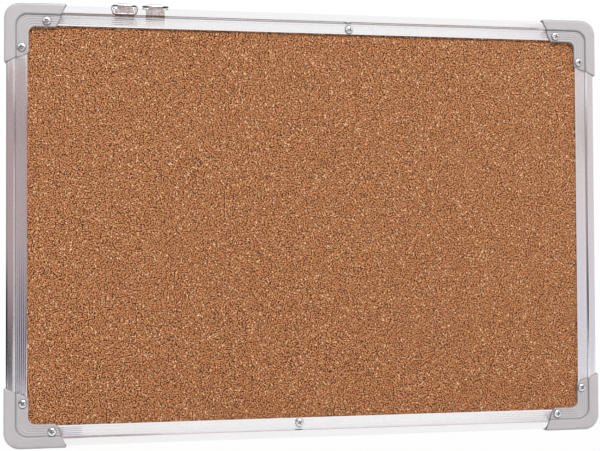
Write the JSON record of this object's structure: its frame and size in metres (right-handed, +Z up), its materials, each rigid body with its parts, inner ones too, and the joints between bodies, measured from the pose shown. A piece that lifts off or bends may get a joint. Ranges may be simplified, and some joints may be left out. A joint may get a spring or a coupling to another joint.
{
  "type": "framed cork pin board",
  "caption": "Landscape cork pin board in a ribbed aluminium frame with grey corner caps, pan-head screws and wire-ring hanger clips that slide along the top rail.",
  "frame": {"origin": "the middle of the back panel's rear face", "axes": "+X along the top edge to the right seen from the front, +Y into the wall, +Z up; the cork faces -Y"},
  "size_m": [0.503, 0.0189, 0.3594],
  "materials": {
    "cork": "matte pressed cork granules",
    "fibre_core": "raw fibre board",
    "galvanised_sheet": "galvanised with a fine spangle",
    "rail_aluminium": "bright mill-finish extrusion",
    "cap_plastic": "satin moulded",
    "screw_zinc": "bright zinc plate",
    "clip_steel": "nickel-plated spring sheet",
    "ring_wire": "nickel-plated wire"
  },
  "bodies": {
    "board": {"cork_sheet": "cork", "core_board": "fibre_core", "back_panel": "galvanised_sheet", "rail_top": "rail_aluminium", "rail_bottom": "rail_aluminium", "rail_left": "rail_aluminium", "rail_right": "rail_aluminium", "corner_cap_top_left": "cap_plastic", "corner_cap_top_right": "cap_plastic", "corner_cap_bottom_left": "cap_plastic", "corner_cap_bottom_right": "cap_plastic", "cap_screw_top_left_top": "screw_zinc", "cap_screw_top_left_left": "screw_zinc", "cap_screw_top_right_top": "screw_zinc", "cap_screw_top_right_right": "screw_zinc", "cap_screw_bottom_left_bottom": "screw_zinc", "cap_screw_bottom_left_left": "screw_zinc", "cap_screw_bottom_right_bottom": "screw_zinc", "cap_screw_bottom_right_right": "screw_zinc", "rail_screw_top": "screw_zinc", "rail_screw_bottom": "screw_zinc"},
    "left_clip": {"hanger_clip_left": "clip_steel"},
    "right_clip": {"hanger_clip_right": "clip_steel"},
    "left_ring": {"hanger_ring_left": "ring_wire"},
    "right_ring": {"hanger_ring_right": "ring_wire"}
  },
  "joints": [
    {"name": "left_clip_slide", "type": "slide", "parent": "board", "child": "left_clip", "axis": [1, 0, 0], "range_m": [-0.034, 0]},
    {"name": "right_clip_slide", "type": "slide", "parent": "board", "child": "right_clip", "axis": [1, 0, 0], "range_m": [0, 0.322]},
    {"name": "left_ring_swing", "type": "hinge", "parent": "left_clip", "child": "left_ring", "pos_m": [-0.1563, -0.0136, 0.1784], "axis": [-1, 0, 0], "range_deg": [0, 248]},
    {"name": "right_ring_swing", "type": "hinge", "parent": "right_clip", "child": "right_ring", "pos_m": [-0.1315, -0.0136, 0.1784], "axis": [1, 0, 0], "range_deg": [0, 248]}
  ]
}
